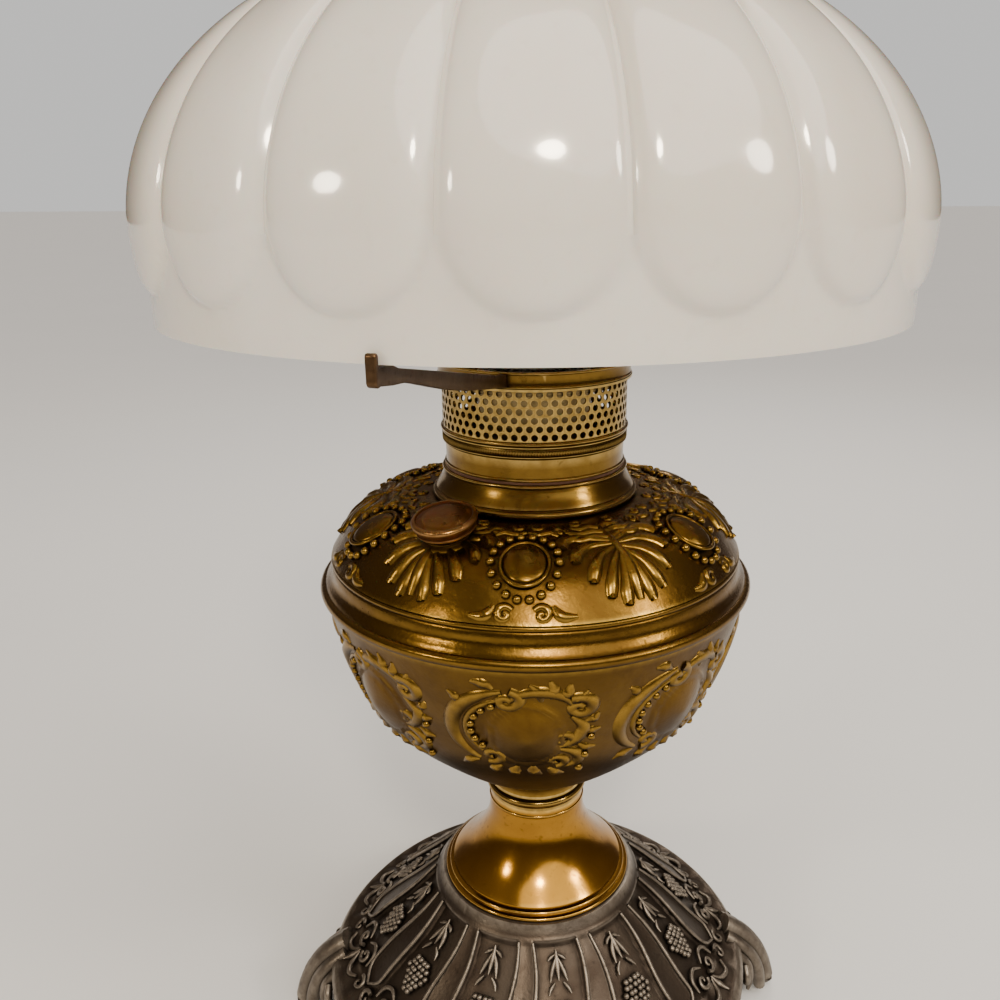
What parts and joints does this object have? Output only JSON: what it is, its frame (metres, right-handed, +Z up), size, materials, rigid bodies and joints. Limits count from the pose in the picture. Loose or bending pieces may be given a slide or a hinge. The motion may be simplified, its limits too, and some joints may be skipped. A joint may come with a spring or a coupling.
{
  "type": "oil lamp",
  "caption": "Parlour oil lamp with a footed cast base, embossed brass font, central-draught burner, glass chimney and lobed opal shade on three arms.",
  "frame": {"origin": "on the lamp's axis, at the plane its four feet stand on", "axes": "+Z up the lamp's axis, -Y towards the front, +X to the right"},
  "size_m": [0.2612, 0.263, 0.5026],
  "materials": {
    "cast_iron": "dark bronzed cast iron with rubbed ridges",
    "polished_brass": "polished spun brass",
    "antique_brass": "embossed brass with amber lacquer and dark recesses",
    "burner_brass": "satin brass",
    "plain_brass": "unpolished inner brass",
    "copper_cap": "reddish lacquered brass",
    "holder_bronze": "dark bronzed brass",
    "steel": "plain steel",
    "opal_glass": "glossy opal white glass",
    "clear_glass": "clear blown glass",
    "wick_cotton": "woven cotton",
    "cork": "cork",
    "fibre": "pressed fibre"
  },
  "bodies": {
    "base": {"base_casting": "cast_iron", "pedestal_plate": "plain_brass", "base_washers": "steel", "base_screws": "steel", "pedestal_cone": "polished_brass", "neck_collar": "polished_brass", "font_bowl": "antique_brass", "font_belt": "antique_brass", "font_dome": "antique_brass", "font_collar": "burner_brass", "filler_neck": "antique_brass", "draft_tube": "plain_brass"},
    "burner_seal": {"burner_gasket": "fibre"},
    "burner": {"burner_base": "burner_brass", "outer_wick_tube": "plain_brass", "knob_bush": "burner_brass"},
    "wick_carriage": {"wick_carrier": "plain_brass", "wick_rack": "plain_brass", "wick": "wick_cotton"},
    "wick_winder": {"knob_shaft": "steel", "wick_pinion": "plain_brass", "wick_knob": "burner_brass"},
    "gallery": {"gallery_grip_ring": "burner_brass", "gallery_basket": "burner_brass", "chimney_seat": "plain_brass", "chimney_prongs": "plain_brass"},
    "flame_spreader": {"flame_spreader": "plain_brass"},
    "chimney": {"chimney": "clear_glass"},
    "shade_holder": {"holder_ring": "burner_brass", "arm_rivets": "burner_brass", "shade_arm_front": "holder_bronze", "shade_arm_right": "holder_bronze", "shade_arm_left": "holder_bronze"},
    "shade": {"shade": "opal_glass"},
    "filler_seal": {"filler_gasket": "cork"},
    "filler_cap": {"filler_cap": "copper_cap"}
  },
  "joints": [
    {"name": "burner_rise", "type": "slide", "parent": "base", "child": "burner_seal", "axis": [0, 0, 1], "range_m": [0, 0.007]},
    {"name": "burner_unscrew", "type": "hinge", "parent": "burner_seal", "child": "burner", "pos_m": [0, 0, 0.255], "axis": [0, 0, 1], "range_deg": [0, 1260]},
    {"name": "wick_raise", "type": "slide", "parent": "burner", "child": "wick_carriage", "axis": [0, 0, 1], "range_m": [-0.013, 0.005]},
    {"name": "wick_knob_turn", "type": "hinge", "parent": "burner", "child": "wick_winder", "pos_m": [0, 0.03, 0.2597], "axis": [0, 1, 0], "range_deg": [-186.21, 71.62]},
    {"name": "gallery_lift", "type": "slide", "parent": "burner", "child": "gallery", "axis": [0, 0, 1], "range_m": [0, 0.03]},
    {"name": "spreader_lift", "type": "slide", "parent": "base", "child": "flame_spreader", "axis": [0, 0, 1], "range_m": [0, 0.03]},
    {"name": "chimney_lift", "type": "slide", "parent": "gallery", "child": "chimney", "axis": [0, 0, 1], "range_m": [0, 0.22]},
    {"name": "holder_lift", "type": "slide", "parent": "gallery", "child": "shade_holder", "axis": [0, 0, 1], "range_m": [0, 0.03]},
    {"name": "shade_lift", "type": "slide", "parent": "shade_holder", "child": "shade", "axis": [0, 0, 1], "range_m": [0, 0.12]},
    {"name": "cap_rise", "type": "slide", "parent": "base", "child": "filler_seal", "axis": [-0.1192, -0.1908, 0.9744], "range_m": [0, 0.0045]},
    {"name": "cap_unscrew", "type": "hinge", "parent": "filler_seal", "child": "filler_cap", "pos_m": [-0.02915, -0.04664, 0.24127], "axis": [-0.1192, -0.1908, 0.9744], "range_deg": [0, 1080]}
  ],
  "couplings": [
    {"joint": "burner_rise", "follows": "burner_unscrew", "m_per_rad": 0.00031831},
    {"joint": "wick_knob_turn", "follows": "wick_raise", "rad_per_m": 250},
    {"joint": "cap_rise", "follows": "cap_unscrew", "m_per_rad": 0.00023873}
  ]
}
